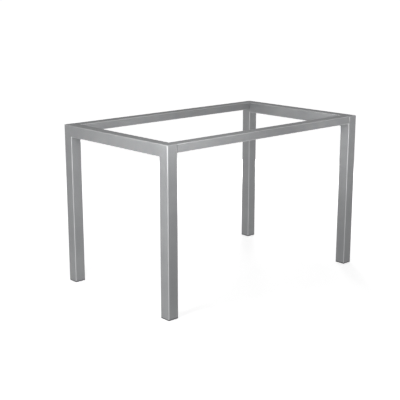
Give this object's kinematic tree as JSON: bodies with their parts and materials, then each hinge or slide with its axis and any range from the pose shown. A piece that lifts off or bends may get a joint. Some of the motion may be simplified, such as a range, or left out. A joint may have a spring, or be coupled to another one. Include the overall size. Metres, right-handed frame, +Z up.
{
  "type": "desk frame",
  "caption": "Open rectangular steel frame with square tube legs and flush top rails, made to carry a desk's worktop.",
  "frame": {"origin": "on the floor, under the middle of the frame", "axes": "+X along the long side, +Y from the front to the back, +Z up to the worktop"},
  "size_m": [1.13, 0.68, 0.7],
  "materials": {
    "silver_powder_coat": "satin silver-grey metallic powder coat",
    "grey_cap_plastic": "matt moulded polyethylene",
    "zinc_plated_steel": "bright zinc plating"
  },
  "bodies": {
    "root": {"front_left_leg": "silver_powder_coat", "back_left_leg": "silver_powder_coat", "front_right_leg": "silver_powder_coat", "back_right_leg": "silver_powder_coat", "left_end_rail": "silver_powder_coat", "right_end_rail": "silver_powder_coat", "left_inner_welds": "silver_powder_coat", "right_inner_welds": "silver_powder_coat", "front_long_rail": "silver_powder_coat", "back_long_rail": "silver_powder_coat", "front_left_spigot": "silver_powder_coat", "back_left_spigot": "silver_powder_coat", "front_right_spigot": "silver_powder_coat", "back_right_spigot": "silver_powder_coat", "front_left_foot_cap": "grey_cap_plastic", "back_left_foot_cap": "grey_cap_plastic", "front_right_foot_cap": "grey_cap_plastic", "back_right_foot_cap": "grey_cap_plastic", "rail_screws": "zinc_plated_steel", "spigot_weld_nuts": "zinc_plated_steel"}
  },
  "joints": []
}
